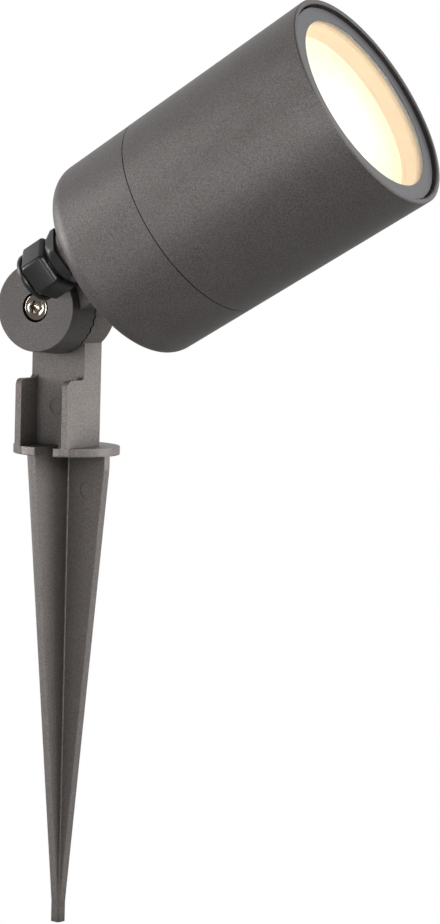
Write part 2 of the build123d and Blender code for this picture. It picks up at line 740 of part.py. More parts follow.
def make_earth_lead():
    """A ring tag for the earth screw, crimped to a lead that ends in the block's middle pole."""
    seat = housing_inside + earth_boss_height
    tag = rod(earth_tag_radius, seat, seat + earth_tag_thickness) - rod(m4_radius + 0.2, seat - 1, seat + 2)
    tail = Box(earth_tag_tail + 0.6, 2.4 * wire_radius, earth_tag_thickness,
               align=(Align.MIN, Align.CENTER, Align.MIN))
    tag = earth_place() * (tag + Pos(earth_tag_radius - 0.6, 0, seat) * tail)
    crimp = earth_place().position + Vector(earth_tag_radius + earth_tag_tail - wire_radius, 0, seat)
    pole = (block_place() * pole_places()[block_poles // 2] * Pos(0, block_hole_offset, 0)).position
    over = block_top + 2 * wire_radius
    end = pole + Vector(0, 0, block_top - 3)
    points = [crimp, Vector(crimp.X, crimp.Y, over), Vector(pole.X, pole.Y, over), end]
    return tag + wire(points, 2 * wire_radius)


def make_earth_screw():
    seat = housing_inside + earth_boss_height + earth_tag_thickness
    screw = pan_screw(m4_radius, m4_head_radius, m4_head_height, seat, earth_screw_length)
    return earth_place() * screw


# ---------------------------------------------------------------- cable gland
def make_gland_body():
    hexagon = turned_hexagon(gland_body_flats, gland_body_back, gland_seat, gland_turn, 1, 0)
    neck_end = gland_body_back - gland_neck_length
    body = hexagon + rod(gland_neck_radius, neck_end, gland_body_back)
    body += rod(gland_thread_radius, gland_seat, housing_inside + gland_boss_height)
    body = body - rod(gland_bore_radius, neck_end - 1, housing_inside + 20)
    body = body - rod(seal_outer_radius + thread_clearance, neck_end - 1, gland_body_back - seal_seat + 0.1)
    return gland_place * body


def make_gland_washer():
    ring = tube(gland_boss_radius - 0.4, gland_thread_radius + 0.1, gland_seat, rear_face)
    return gland_place * ring


def make_gland_nut():
    nut = hexagon_bar(nut_body_flats, nut_back, nut_front, gland_turn - 1)
    long_corners = nut.edges().filter_by(Axis.Z)
    nut = chamfer(long_corners, nut_corner / sqrt(3))
    ends = nut.faces().sort_by(Axis.Z)
    nut = chamfer(ends[0].edges() + ends[-1].edges(), nut_edge)
    rim = rod(nut_rim_radius, nut_end, nut_back + 1)
    rim = fillet(rim.edges().sort_by(Axis.Z)[0], 1.0)
    nut = nut + rim
    cavity = turned((0, nut_front + 1), (gland_neck_radius + 0.12, nut_front + 1),
                    (gland_neck_radius + 0.12, nut_back + 1.2), (nut_mouth_radius, nut_end + 0.9),
                    (nut_mouth_radius, nut_end - 1), (0, nut_end - 1))
    return gland_place * (nut - cavity)


def make_gland_seal():
    neck_end = gland_body_back - gland_neck_length
    return gland_place * tube(seal_outer_radius, seal_bore_radius, neck_end, gland_body_back - seal_seat)


# ---------------------------------------------------------------- write every piece
on_spike = {
    "spike": make_spike,
    "clamp_nut": make_clamp_nut,
    "clamp_screw": make_clamp_screw,
    "spring_washer": make_spring_washer,
}
on_head = {
    "knuckle_arm": make_knuckle_arm,
    "arm_seal": make_arm_seal,
    "arm_screws": make_arm_screws,
    "rear_housing": make_rear_housing,
    "housing_o_ring": make_housing_o_ring,
    "front_barrel": make_front_barrel,
    "glass_seal": make_glass_seal,
    "front_glass": make_front_glass,
    "glass_border": make_glass_border,
    "centring_sleeve": make_centring_sleeve,
    "lamp_body": make_lamp_body,
    "lamp_lens": make_lamp_lens,
    "lamp_pins": make_lamp_pins,
    "lampholder": make_lampholder,
    "holder_bridge": make_holder_bridge,
    "bridge_screws": make_bridge_screws,
    "terminal_block": make_terminal_block,
    "terminal_screws": make_terminal_screws,
    "lamp_leads": make_lamp_leads,
    "earth_lead": make_earth_lead,
    "earth_screw": make_earth_screw,
    "gland_body": make_gland_body,
    "gland_washer": make_gland_washer,
    "gland_nut": make_gland_nut,
    "gland_seal": make_gland_seal,
}

os.makedirs("parts", exist_ok=True)
pieces = {name: make() for name, make in on_spike.items()}
pieces.update({name: head_place * make() for name, make in on_head.items()})
for name, piece in pieces.items():
    export_step(piece, f"parts/{name}.step")
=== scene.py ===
# %% [markdown]
# # Garden spike spotlight
# A cylindrical die-cast head stands on a toothed tilt knuckle and a cross-bladed ground spike. The
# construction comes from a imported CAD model, the frame. This lesson dresses it: a camera, finishes for
# every piece, finer surfaces where the CAD solids are too plain for a close look, and light.
#
# Everything is in metres, in the frame's own axes. The origin is the centre of the underside of the
# spike's collar, which is level with the ground when the spike is pushed in.

# %% Load the frame
import json

import bmesh
import bpy
import numpy as np
from mathutils import Matrix, Vector


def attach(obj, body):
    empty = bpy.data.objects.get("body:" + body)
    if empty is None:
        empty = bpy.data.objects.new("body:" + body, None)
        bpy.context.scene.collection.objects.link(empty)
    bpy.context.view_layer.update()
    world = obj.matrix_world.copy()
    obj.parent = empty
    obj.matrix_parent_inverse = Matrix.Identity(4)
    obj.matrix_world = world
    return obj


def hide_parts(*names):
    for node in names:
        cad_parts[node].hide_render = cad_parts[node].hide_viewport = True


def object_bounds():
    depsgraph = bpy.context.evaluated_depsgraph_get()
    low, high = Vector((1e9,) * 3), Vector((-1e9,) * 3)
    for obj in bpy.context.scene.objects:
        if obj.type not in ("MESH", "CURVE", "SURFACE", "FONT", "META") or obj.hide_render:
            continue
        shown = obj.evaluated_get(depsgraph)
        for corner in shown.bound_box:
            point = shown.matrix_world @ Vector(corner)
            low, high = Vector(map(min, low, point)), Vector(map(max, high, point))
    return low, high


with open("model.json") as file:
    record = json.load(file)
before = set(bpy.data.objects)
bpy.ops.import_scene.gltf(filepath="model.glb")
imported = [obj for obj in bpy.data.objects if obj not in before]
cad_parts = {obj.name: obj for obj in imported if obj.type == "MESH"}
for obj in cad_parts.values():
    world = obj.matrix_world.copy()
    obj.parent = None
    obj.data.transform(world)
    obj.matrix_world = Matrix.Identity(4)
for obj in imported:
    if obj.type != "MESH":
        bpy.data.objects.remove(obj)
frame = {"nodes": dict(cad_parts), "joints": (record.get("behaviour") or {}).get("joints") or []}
cad_low, cad_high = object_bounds()
nodes = frame["nodes"]
mm = 0.001

# %% [markdown]
# The head tilts on the knuckle, so its pieces are easiest to describe along the beam of light. Typed
# coordinates would do, but they would be wrong as soon as the frame changes, so the axes come from the
# joints in the frame's record. "Beam" points forward through the glass, "side" to the side with the
# cable channel, and "up" is at right angles to both.

# %% The head's own axes
joints = {joint["name"]: joint for joint in frame["joints"]}
pivot = np.array(joints["head_tilt"]["pos_m"])
beam = np.array(joints["barrel_unscrew"]["axis"])
side = np.array([0.0, -1.0, 0.0])
up = np.cross(side, beam)


def level_with_pivot(joint):
    """The point of an axis along the beam that is level with the pivot: the joint's own point, less
    its distance ahead of the pivot along the beam."""
    point = np.array(joints[joint]["pos_m"])
    return point - beam * np.dot(point - pivot, beam)


head_centre = level_with_pivot("barrel_unscrew")
gland_centre = level_with_pivot("gland_nut_turn")
print("the gland is", round(np.linalg.norm(gland_centre - head_centre) / mm, 2), "mm from the head's axis")

# %% [markdown]
# New pieces have to fit where the CAD solids are, so their lengths are measured on the solids. All
# points are read in one go and multiplied by the axis, which is quicker than a walk over the points.

# %% Measure along an axis
def read_all(items, name):
    """One value of every vertex or face, such as its place, as rows of x, y and z."""
    values = np.empty(3 * len(items), dtype=np.float32)
    items.foreach_get(name, values)
    return values.reshape(-1, 3)


def extent(node, axis):
    """The lowest and highest distance along an axis from the pivot: (point - pivot) times the axis."""
    distance = (read_all(nodes[node].data.vertices, "co") - pivot) @ axis
    return distance.min(), distance.max()


print("glass front:", round(extent("front_glass", beam)[1] / mm, 2), "mm ahead of the pivot")

# %% [markdown]
# The camera is the one that took the picture: a lens of about 106 mm on a full frame held upright,
# 0.9 m away, to the right of the cable channel and a little above the ground. It could be aimed at a
# target, but the photograph fixes its roll too, so its direction is given by a yaw round the vertical,
# a pitch and a small roll, and its three axes are the columns of its rotation.

# %% Camera
camera_place = np.array([468.8, -749.4, 74.9]) * mm
camera_yaw, camera_pitch, camera_roll = np.radians([28.795, 4.950, 1.568])
focal_pixels = 2729.5
picture_height = 924
film = 36.0


def camera_axes(yaw, pitch, roll):
    """Right, up and forward of a camera that looks along +Y. Forward is turned by the yaw and tipped
    down by the pitch, right stays level, and the roll mixes right and up by its cosine and sine."""
    forward = np.array([-np.sin(yaw) * np.cos(pitch), np.cos(yaw) * np.cos(pitch), -np.sin(pitch)])
    right = np.array([np.cos(yaw), np.sin(yaw), 0.0])
    upward = np.cross(right, forward)
    rolled_right = np.cos(roll) * right + np.sin(roll) * upward
    rolled_up = np.cos(roll) * upward - np.sin(roll) * right
    return rolled_right, rolled_up, forward


cam_right, cam_up, cam_forward = camera_axes(camera_yaw, camera_pitch, camera_roll)
camera_data = bpy.data.cameras.new("camera")
camera_data.sensor_width = film
camera_data.lens = focal_pixels * film / picture_height
camera_data.clip_start = 0.01
camera_data.clip_end = 50
camera = bpy.data.objects.new("camera", camera_data)
bpy.context.scene.collection.objects.link(camera)
rotation = Matrix(np.column_stack([cam_right, cam_up, -cam_forward]).tolist()).to_4x4()
camera.matrix_world = Matrix.Translation(Vector(camera_place)) @ rotation
bpy.context.scene.camera = camera
print("lens:", round(camera_data.lens, 1), "mm")

# %% [markdown]
# ## Finishes
# A colour is written as it looks on a screen, in sRGB, but a shader reckons with linear light. One
# function turns the first into the second.

# %% Colours
def linear(hex_colour):
    """An sRGB colour such as #6b6663 as linear red, green, blue and alpha: each share of 255 to the
    power of 2.4 after a small offset, and a straight line for the darkest shares."""
    value = np.array([int(hex_colour[i:i + 2], 16) for i in (1, 3, 5)]) / 255
    value = np.where(value <= 0.04045, value / 12.92, ((value + 0.055) / 1.055) ** 2.4)
    return (*value.tolist(), 1.0)


print("half grey is", round(linear("#808080")[0], 3), "in linear light")

# %% [markdown]
# Materials are built from a few nodes each. Clicking them together would work as well, but a script can
# be read and repeated. One helper adds a node, sets its inputs and properties by name and links its
# inputs. Another starts a material on the Principled shader, and a third puts it on CAD nodes.

# %% Helpers for materials
def add_node(tree, kind, settings=(), links=()):
    """Adds a shader node. Settings are inputs or properties by name, and links are inputs by name with
    the socket that feeds each."""
    new = tree.nodes.new("ShaderNode" + kind)
    for name, value in dict(settings).items():
        if isinstance(name, int) or name in new.inputs:
            new.inputs[name].default_value = value
        else:
            setattr(new, name, value)
    for name, socket in dict(links).items():
        tree.links.new(new.inputs[name], socket)
    return new


def new_finish(name, **settings):
    """A material with one Principled shader, set by the shader's own input names."""
    material = bpy.data.materials.new(name)
    material.use_nodes = True
    tree = material.node_tree
    shader = tree.nodes["Principled BSDF"]
    for key, value in settings.items():
        shader.inputs[key.replace("_", " ")].default_value = value
    return material, tree, shader


def dress(material, *names):
    """Gives CAD nodes a material in place of the one they came with."""
    for name in names:
        nodes[name].data.materials.clear()
        nodes[name].data.materials.append(material)
    print(material.name, "on", ", ".join(names))


# %% [markdown]
# The shells are aluminium with a powder coat in fine sand texture, in the dark iron-mica grey that is
# usual on outdoor lights. The powder melts into small rounded grains that break up the highlight. Real
# grains are about 0.2 mm across, less than a pixel of this picture, so they are drawn 0.42 mm wide, as
# coarse as they need to be to show. Broad faint clouds keep the tone from being even.
#
# The mica flakes in the coat reflect like metal, so it is partly metallic. That gives the soft bright
# band along the head, which a plain paint wouldn't show. The colour is darker where a surface is closed
# in, which is painted shade: within 4 mm on the shells and the arm, and within 12 mm between the blades
# and in the cable channel. The spike's coat is written paler than the head's, as painted light on the
# blades.

# %% Powder coat
grain_width = 0.42 * mm
cloud_width = 12 * mm
cloud_share = 0.12
mica_share = 0.55


def powder_coat(name, dark, light, grain_depth, gap):
    """The tone runs from dark to light as a mix of fine and broad noise goes from 0.38 to 0.62, and is
    darkened as painted shade where another surface is nearer than the gap. The fine noise raises the grains."""
    material, tree, shader = new_finish(name, Roughness=0.5, IOR=1.5, Metallic=mica_share)
    place = add_node(tree, "TexCoord").outputs["Object"]
    grains = add_node(tree, "TexNoise", {"Scale": 1 / grain_width}, {"Vector": place}).outputs["Fac"]
    clouds = add_node(tree, "TexNoise", {"Scale": 1 / cloud_width}, {"Vector": place}).outputs["Fac"]
    mixed = add_node(tree, "MixRGB", {"Fac": cloud_share}, {"Color1": grains, "Color2": clouds})
    tone = add_node(tree, "ValToRGB", links={"Fac": mixed.outputs["Color"]})
    for stop, position, colour in zip(tone.color_ramp.elements, (0.38, 0.62), (dark, light)):
        stop.position = position
        stop.color = linear(colour)
    # painted shade: the tone is darkened where another surface is nearer than the gap
    painted_shade = add_node(tree, "AmbientOcclusion", {"Distance": gap, "samples": 8},
                       {"Color": tone.outputs["Color"]})
    tree.links.new(shader.inputs["Base Color"], painted_shade.outputs["Color"])
    raised = add_node(tree, "Bump", {"Distance": grain_depth}, {"Height": grains})
    tree.links.new(shader.inputs["Normal"], raised.outputs["Normal"])
    return material


sand_coat = powder_coat("fine_sand_powder_coat", "#4f4b49", "#656160", grain_depth=0.05 * mm, gap=4 * mm)
# painted light: the spike's coat is written paler than the head's, to stand in for the brighter light on the
# blades
cast_coat = powder_coat("powder_coat_on_casting", "#66615e", "#7e7875", grain_depth=0.04 * mm, gap=12 * mm)
dress(sand_coat, "front_barrel", "rear_housing", "knuckle_arm")
dress(cast_coat, "spike")

# %% [markdown]
# Clamp screw, washer and nut are turned stainless steel, the small screws and the bridge inside are
# zinc-plated steel, and the lamp's pins and the earth screw are brass. A metal has no colour but that of
# its reflection, so it is one colour all over. What tells these three apart is that colour and how
# rough they are. Cutting and plating leave the surface a little uneven, by a few thousandths of a
# millimetre, which a fine noise gives. Its real grain is finer than a pixel and is drawn 0.5 to 0.8 mm
# wide, so that it still breaks the reflection.

# %% Metals
def bare_metal(name, colour, roughness, unevenness):
    """One reflecting colour, raised by 0.004 mm with a noise whose bumps are as wide as the unevenness."""
    material, tree, shader = new_finish(name, Metallic=1.0, Roughness=roughness)
    shader.inputs["Base Color"].default_value = linear(colour)
    place = add_node(tree, "TexCoord").outputs["Object"]
    pattern = add_node(tree, "TexNoise", {"Scale": 1 / unevenness}, {"Vector": place}).outputs["Fac"]
    raised = add_node(tree, "Bump", {"Distance": 0.004 * mm}, {"Height": pattern})
    tree.links.new(shader.inputs["Normal"], raised.outputs["Normal"])
    return material


stainless = bare_metal("turned_stainless_steel", "#b5aa9d", roughness=0.14, unevenness=0.5 * mm)
zinc = bare_metal("zinc_plated_steel", "#b9bab8", roughness=0.35, unevenness=0.8 * mm)
brass = bare_metal("turned_brass", "#c9a45c", roughness=0.3, unevenness=0.6 * mm)
dress(stainless, "clamp_screw", "spring_washer", "clamp_nut")
dress(zinc, "arm_screws", "bridge_screws", "holder_bridge", "terminal_screws")
dress(brass, "lamp_pins", "earth_screw")

# %% [markdown]
# The gland is moulded polyamide, black with a satin face. The seals are matt rubber, the bead behind
# the glass is white silicone, and the lampholder is steatite, a fired ceramic with a dry surface. All of
# them are moulded or pressed. The fine texture of a mould changes tone and height together, so one
# noise drives both. Real textures of 0.1 to 0.2 mm would vanish between the pixels, so they are drawn
# 0.4 mm wide and more. On the earth lead's cover the two tones are its green and yellow.

# %% Plastics, rubber and ceramic
def moulded(name, dark, light, roughness, texture, depth):
    """The tone runs from dark to light as a noise goes from 0.3 to 0.7, and the same noise raises the
    surface by the depth. Its bumps are as wide as the texture."""
    material, tree, shader = new_finish(name, Roughness=roughness, IOR=1.5)
    place = add_node(tree, "TexCoord").outputs["Object"]
    pattern = add_node(tree, "TexNoise", {"Scale": 1 / texture}, {"Vector": place}).outputs["Fac"]
    tone = add_node(tree, "ValToRGB", links={"Fac": pattern})
    for stop, position, colour in zip(tone.color_ramp.elements, (0.3, 0.7), (dark, light)):
        stop.position = position
        stop.color = linear(colour)
    tree.links.new(shader.inputs["Base Color"], tone.outputs["Color"])
    raised = add_node(tree, "Bump", {"Distance": depth}, {"Height": pattern})
    tree.links.new(shader.inputs["Normal"], raised.outputs["Normal"])
    return material


nylon = moulded("black_polyamide", "#1a1919", "#232222", 0.33, 0.5 * mm, 0.01 * mm)
rubber = moulded("black_rubber", "#1b1b1b", "#232323", 0.8, 0.4 * mm, 0.01 * mm)
silicone = moulded("white_silicone", "#d9d4c8", "#e6e2d8", 0.6, 1.0 * mm, 0.01 * mm)
white_plastic = moulded("white_polycarbonate", "#e9e2d2", "#f4eee0", 0.35, 2.0 * mm, 0.004 * mm)
steatite = moulded("steatite", "#c9c0ae", "#d8d1c2", 0.7, 0.6 * mm, 0.01 * mm)
lead_cover = moulded("lead_insulation", "#b5ab98", "#c4bba9", 0.6, 0.6 * mm, 0.005 * mm)
earth_cover = moulded("earth_lead_insulation", "#6f8f1f", "#b9b12a", 0.6, 2.5 * mm, 0.005 * mm)
dress(nylon, "gland_body", "gland_nut")
dress(rubber, "arm_seal", "housing_o_ring", "gland_washer", "gland_seal")
dress(silicone, "glass_seal")
dress(white_plastic, "centring_sleeve", "lamp_body", "terminal_block")
dress(steatite, "lampholder")
dress(lead_cover, "lamp_leads")
dress(earth_cover, "earth_lead")

# %% [markdown]
# The front glass is toughened float glass with a fired enamel border. Float glass is flat and clean, so
# it has no pattern, only a trace of green. The enamel is opaque and smooth, and a little bluer than the
# coat beside it. It is printed and fired, and its tone wanders a little, over about 3 mm, so its finish
# is put together like that of a moulded piece.

# %% Glass and enamel
clear_glass, tree, shader = new_finish("toughened_glass", Roughness=0.0, IOR=1.5, Transmission_Weight=1.0)
shader.inputs["Base Color"].default_value = linear("#fbfffc")
dress(clear_glass, "front_glass")
enamel = moulded("fired_enamel", "#454447", "#49484b", 0.35, 3.0 * mm, 0.001 * mm)
dress(enamel, "glass_border")

# %% [markdown]
# The lamp is lit. A real lamp inside would need many light paths through the glass before it looked
# clean, so the frosted front glows by itself, in warm white, a little yellower towards its edge. How
# far a point is from the middle comes from an attribute that is written to the lens further down.

# %% Lamp front
glow, tree, shader = new_finish("frosted_lamp_front", Roughness=0.5, IOR=1.5, Emission_Strength=0.7)
shader.inputs["Base Color"].default_value = linear("#c2baa8")
to_edge = add_node(tree, "Attribute", {"attribute_name": "radius_share"}).outputs["Fac"]
fade = add_node(tree, "ValToRGB", links={"Fac": to_edge})
for stop, position, colour in zip(fade.color_ramp.elements, (0.45, 1.0), ("#fffbee", "#faf0bd")):
    stop.position = position
    stop.color = linear(colour)
tree.links.new(shader.inputs["Emission Color"], fade.outputs["Color"])
dress(glow, "lamp_lens")

# %% [markdown]
# The sleeve round the lamp and the lamp's own housing are white plastic that the lamp shines on and
# through. Its light on them is painted: their colours are written peach and cream, and a weak glow of
# their own, which is painted lamplight, gives that evenly.

# %% Plastic in the lamp's light
def paint_lamplight(material, colour, strength):
    """Adds a weak glow of one colour to a finish, as painted lamplight."""
    shader = material.node_tree.nodes["Principled BSDF"]
    shader.inputs["Emission Color"].default_value = linear(colour)
    shader.inputs["Emission Strength"].default_value = strength
    print(material.name, "glows with", strength)


# painted lamplight: the sleeve's wall is written peach and given a glow of its own
sleeve_plastic = moulded("white_polycarbonate_sleeve", "#d9b98e", "#e2c49b", 0.45, 3.0 * mm, 0.004 * mm)
paint_lamplight(sleeve_plastic, "#ffd3a0", 0.3)
# painted lamplight: the lamp housing and the sleeve's ring are written cream and given a glow of their own
lamp_plastic = moulded("lamp_housing_plastic", "#ece4d0", "#f4ecd9", 0.4, 3.0 * mm, 0.004 * mm)
paint_lamplight(lamp_plastic, "#fff0b0", 0.4)

# %% [markdown]
# ## Surfaces round an axis
# Several pieces are finer here than in CAD: the gland, the screw, its nut and the lamp. They could be
# cut from primitives with bevels and booleans. But each one is a surface round an axis, and as a grid of
# points it is even, closed and exact. A hexagon is only a radius that changes with the angle, and a
# thread one that changes with the angle and the height. One function turns such a grid into a mesh.

# %% A mesh from a grid
weld_distance = 1e-7
sharp_edge = np.radians(28)


def surface(name, points, ring=True):
    """A mesh from a grid of points: row after row along a profile, column after column round the axis.
    ring says that the profile closes on itself, as on a nut. Otherwise its first and last row are
    single points on the axis. The signed volume is a sum over triangles, each point times the cross
    product of the next two. Where it is negative the faces point inwards, so they are turned round."""
    rows, columns = points.shape[:2]
    index = np.arange(rows * columns).reshape(rows, columns)
    here, next_row = (index, np.roll(index, -1, axis=0)) if ring else (index[:-1], index[1:])
    quads = np.stack([here, next_row, np.roll(next_row, -1, axis=1), np.roll(here, -1, axis=1)], axis=-1)
    quads = quads.reshape(-1, 4)
    flat = points.reshape(-1, 3)
    one, two, three, four = (flat[quads[:, corner]] - flat.mean(axis=0) for corner in range(4))
    volume = (one * np.cross(two, three)).sum() + (one * np.cross(three, four)).sum()
    if volume < 0:
        quads = quads[:, ::-1]
    mesh = bpy.data.meshes.new(name)
    mesh.from_pydata(flat.tolist(), [], quads.tolist())
    build = bmesh.new()
    build.from_mesh(mesh)
    bmesh.ops.remove_doubles(build, verts=build.verts, dist=weld_distance)
    build.to_mesh(mesh)
    build.free()
    mesh.polygons.foreach_set("use_smooth", np.ones(len(mesh.polygons), dtype=bool))
    mesh.set_sharp_from_angle(angle=sharp_edge)
    piece = bpy.data.objects.new(name, mesh)
    bpy.context.scene.collection.objects.link(piece)
    return piece


def place_piece(piece, body, material, replaced):
    """Hands a finished piece to the frame: its body, its material and what it stands for."""
    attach(piece, body)
    piece.data.materials.append(material)
    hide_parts(replaced)
    print(piece.name, "has", len(piece.data.polygons), "faces")


# %% [markdown]
# A surface is put together from parts, in the order in which its profile runs. A part is a pair: rows
# of radius, with one value for each angle, and the height of each row on the axis. Rings are the
# plainest part. Each has one radius all the way round.

# %% Parts of a surface
def rings(profile, angle):
    """A part whose rows are circles, from the profile's corners of radius and height."""
    profile = np.array(profile, dtype=float)
    return profile[:, :1] * np.ones(len(angle)), profile[:, 1]


def round_surface(name, centre, axis, across, angle, parts, ring=True):
    """Each point is the centre, plus the height along the axis, plus the radius along a direction that
    goes round: the cosine of the angle times the first of two directions across the axis, plus its
    sine times the second."""
    radius = np.concatenate([rows for rows, heights in parts])
    height = np.concatenate([heights for rows, heights in parts])
    outward = np.cos(angle)[:, None] * across[0] + np.sin(angle)[:, None] * across[1]
    return surface(name, centre + height[:, None, None] * axis + radius[..., None] * outward, ring)


def turned(first, second, turn):
    """Two directions at right angles after a turn in their plane, from the first towards the second."""
    return np.cos(turn) * first + np.sin(turn) * second, np.cos(turn) * second - np.sin(turn) * first


print("a ring of 3 mm:", rings([(3 * mm, 0)], np.zeros(4))[0])

# %% [markdown]
# A hexagon that has to look crisp needs columns of points exactly at its six corners, and a pair beside
# each one where the corner is broken. Evenly spaced columns would miss them and give ragged edges.

# %% Hexagons
sixth = np.pi / 3
half_face = np.pi / 6
strip_margin = 1.01


def corner_columns(strip):
    """Angles round a hexagon: in each sixth of a turn five columns from one side of the corner's strip
    to the other, and nine evenly spaced ones on to the next corner's strip."""
    near = np.array([-strip, -strip / 2, 0, strip / 2, strip])
    gap = np.radians(0.3)
    far = np.linspace(strip + gap, sixth - strip - gap, 9)
    return (np.arange(6)[:, None] * sixth + np.concatenate([near, far])).ravel()


def hexagon(to_face, angle):
    """Radius of a hexagon with a corner at angle 0: the distance of its faces over the cosine of the
    angle from the middle of a face."""
    return to_face / np.cos(np.mod(angle, sixth) - half_face)


def stripped_hexagon(to_face, angle, strip, step):
    """Radius of a hexagon whose corners are flat strips. In a strip it is the distance of the strip's
    edge times the cosine of half its width, over the cosine of the angle from the corner, less a step.
    The margin takes the strip's two outer columns in."""
    from_corner = np.mod(angle + half_face, sixth) - half_face
    strip_edge = to_face / np.cos(half_face - strip)
    flat = strip_edge * np.cos(strip) / np.cos(from_corner) - step
    return np.where(np.abs(from_corner) < strip * strip_margin, flat, hexagon(to_face, angle))


print("a hexagon of 16 mm is", round(hexagon(8, 0.0), 2) * 2, "mm across its corners")

# %% [markdown]
# ## Cable gland
# The gland is moulded in black polyamide. Its nut is a hexagon with a broad bevel round both ends of
# every face, and its six long corners are cut back to narrow sunken strips, which shows as double
# lines. Behind it a smooth ring surrounds the cable's mouth. Cut from a cube it would take many loops;
# as a surface, every one of these is one term in the radius.

# %% Gland nut
nut_end, nut_front = extent("gland_nut", beam)
nut_to_face = 16.4 * mm / 2
nut_turn = np.radians(18.0)
nut_bevel = 1.6 * mm
bevel_power = 1.6
strip_half = np.radians(2.9)
strip_step = 0.22 * mm
hexagon_start = nut_end + 1.8 * mm
mouth_radius = 7.1 * mm
mouth_round = 1.0 * mm


def bevel_inset(height, low, high, bevel):
    """How far a rounded bevel draws a face in: 1 - (1 - (1 - t) ^ 1.6) ^ (1 / 1.6) of the bevel, where
    t goes from 0 at the end to 1 where the bevel meets the face."""
    from_end = np.clip(np.minimum(height - low, high - height) / bevel, 0, 1)
    return bevel * (1 - (1 - (1 - from_end) ** bevel_power) ** (1 / bevel_power))


bevel_rows = np.linspace(0, nut_bevel, 11)
rows = np.concatenate([hexagon_start + bevel_rows, nut_front - bevel_rows[::-1]])
columns = corner_columns(strip_half)
to_face = nut_to_face - bevel_inset(rows, hexagon_start, nut_front, nut_bevel)[:, None]
faces = stripped_hexagon(to_face, columns, strip_half, strip_step)

mouth_turn = np.linspace(0, np.pi / 2, 8)
mouth_edge = np.column_stack([mouth_radius + mouth_round * np.sin(mouth_turn),
                              nut_end + mouth_round * (1 - np.cos(mouth_turn))])
mouth_neck = [(8.1 * mm, hexagon_start - 0.4 * mm),
              (7.7 * mm, hexagon_start - 0.02 * mm)]
cable_way = [(7.12 * mm, nut_front),
             (7.12 * mm, nut_end + 3.4 * mm),
             (5.2 * mm, nut_end + 2.2 * mm),
             (4.4 * mm, nut_end + 0.9 * mm),
             (4.4 * mm, nut_end + 0.3 * mm),
             (4.7 * mm, nut_end)]
parts = [rings(mouth_edge, columns), rings(mouth_neck, columns), (faces, rows), rings(cable_way, columns)]
nut = round_surface("cable_gland_nut", gland_centre, beam, turned(up, side, nut_turn), columns, parts)
place_piece(nut, "gland_nut", nylon, "gland_nut")

# %% [markdown]
# The gland's body carries a thread under the nut, a hexagon whose corners are turned off towards the
# nut, and a smaller thread that goes through the housing. A thread could be swept along a helix. As a
# radius it is a triangle wave of the height less the angle: one turn round moves it on by one pitch.

# %% Gland body
body_start, body_end = extent("gland_body", beam)
hexagon_back = nut_front + 1.5 * mm
hexagon_front = nut_front + 4.8 * mm
body_to_face = 16.8 * mm / 2
body_turn = np.radians(23.0)
body_corner = np.radians(1.0)
pitch = 1.5 * mm
row_step = 0.15 * mm
cone_start = 8.45 * mm
cone_slope = 0.62
cone_length = 1.8 * mm


def thread(height, angle, outer, depth, lead):
    """Radius of a thread: the outer radius less the depth times a triangle wave, which goes up and down
    once as the height over the lead, less the angle over a full turn, grows by 1."""
    wave = np.mod(height[:, None] / lead - angle / (2 * np.pi), 1.0)
    return outer - depth * np.abs(2 * wave - 1)


columns = corner_columns(body_corner)
nut_thread_rows = np.arange(body_start, hexagon_back - 0.2 * mm, row_step)
nut_thread = thread(nut_thread_rows, columns, outer=7.0 * mm, depth=0.6 * mm, lead=pitch)
face_rows = np.append(np.linspace(hexagon_back, hexagon_back + cone_length, 10), hexagon_front)
cone = cone_start + (face_rows - hexagon_back)[:, None] * cone_slope
faces = np.minimum(stripped_hexagon(body_to_face, columns, body_corner, 0.0), cone)
wall_thread_rows = np.arange(hexagon_front + 0.9 * mm, body_end, row_step)
wall_thread = thread(wall_thread_rows, columns, outer=6.0 * mm, depth=0.45 * mm, lead=pitch)
bore = [(4.0 * mm, body_end),
        (4.0 * mm, hexagon_back - 1.1 * mm),
        (5.65 * mm, hexagon_back - 1.1 * mm),
        (5.65 * mm, body_start)]
parts = [(nut_thread, nut_thread_rows), rings([(6.3 * mm, hexagon_back)], columns), (faces, face_rows),
         rings([(5.7 * mm, hexagon_front)], columns), (wall_thread, wall_thread_rows), rings(bore, columns)]
gland = round_surface("cable_gland_body", gland_centre, beam, turned(up, side, body_turn), columns, parts)
place_piece(gland, "head", nylon, "gland_body")

# %% [markdown]
# ## Clamp screw and nut
# The knuckle is clamped by an M5 socket-head screw with a nut in the back of the ear. The screw's head
# has a rounded edge, a fine knurl and a hexagon socket with a turned mouth. Every second column of the
# head is drawn in for the knurl, and rows that start as circles and end as hexagons give the socket.

# %% Clamp screw
screw_low, screw_high = extent("clamp_screw", side)
under_head = screw_high - 5.0 * mm
socket_to_face = 4.0 * mm / 2
socket_turn = 0.35
head_radius = 4.25 * mm
edge_round = 0.5 * mm
knurl_depth = 0.09 * mm
columns = corner_columns(np.radians(1.2))

